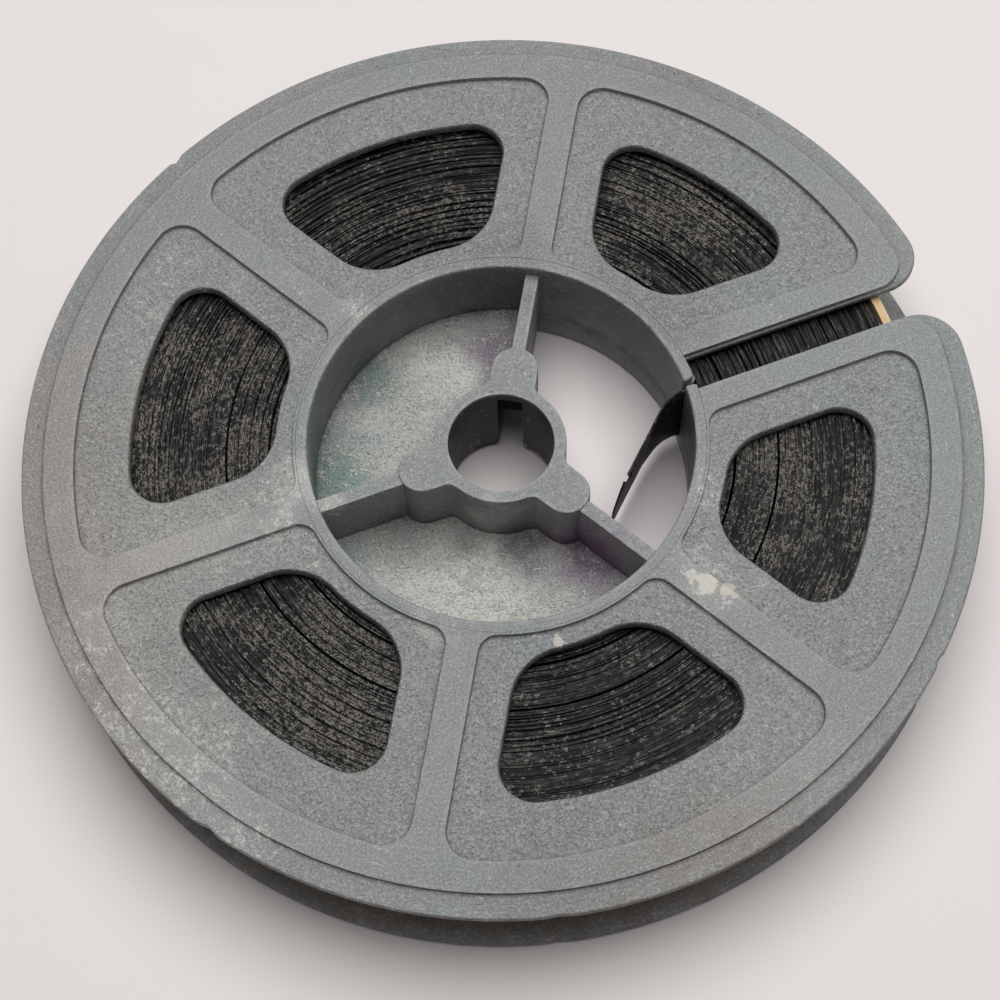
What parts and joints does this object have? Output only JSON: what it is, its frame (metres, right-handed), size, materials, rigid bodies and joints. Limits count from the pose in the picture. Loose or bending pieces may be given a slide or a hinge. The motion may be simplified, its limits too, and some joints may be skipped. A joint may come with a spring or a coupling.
{
  "type": "cine film reel",
  "caption": "Moulded plastic reel for narrow cine film: a spoked hub with a keyed bore, two windowed flanges, and a wound dark film with its tail and pale leader.",
  "frame": {"origin": "axis of the spindle bore at the lower flange's outer face", "axes": "+Z along the bore's axis, out of the slotted upper flange; +X along the threading slot"},
  "size_m": [0.073, 0.073, 0.0105],
  "materials": {
    "reel_plastic": "grey moulded plastic, grained panels and smooth ribs, dusty and worn",
    "film": "near-black processed film",
    "leader": "cream leader, slightly yellowed"
  },
  "bodies": {
    "reel": {"core": "reel_plastic", "upper_flange": "reel_plastic", "lower_flange": "reel_plastic"},
    "film_outer": {"film_outer_turns": "film", "leader_turns": "leader"},
    "film_middle": {"film_middle_turns": "film"},
    "film_inner": {"film_inner_turns": "film"},
    "leader_end": {"leader_end": "leader"},
    "film_tail": {"film_tail": "film"}
  },
  "joints": [
    {"name": "outer_cinch", "type": "hinge", "parent": "reel", "child": "film_outer", "pos_m": [0, 0, 0.005], "axis": [0, 0, 1], "range_deg": [0, 30]},
    {"name": "middle_cinch", "type": "hinge", "parent": "reel", "child": "film_middle", "pos_m": [0, 0, 0.005], "axis": [0, 0, 1], "range_deg": [0, 18]},
    {"name": "inner_cinch", "type": "hinge", "parent": "reel", "child": "film_inner", "pos_m": [0, 0, 0.005], "axis": [0, 0, 1], "range_deg": [0, 7.5]},
    {"name": "leader_lift", "type": "hinge", "parent": "film_outer", "child": "leader_end", "pos_m": [-0.0111, -0.03051, 0.005], "axis": [0, 0, -1], "range_deg": [0, 60]},
    {"name": "tail_swing", "type": "hinge", "parent": "reel", "child": "film_tail", "pos_m": [0.01473, -0.00072, 0.005], "axis": [0, 0, 1], "range_deg": [-15, 15]}
  ],
  "couplings": [
    {"joint": "middle_cinch", "follows": "outer_cinch", "ratio": 0.6},
    {"joint": "inner_cinch", "follows": "outer_cinch", "ratio": 0.25}
  ]
}
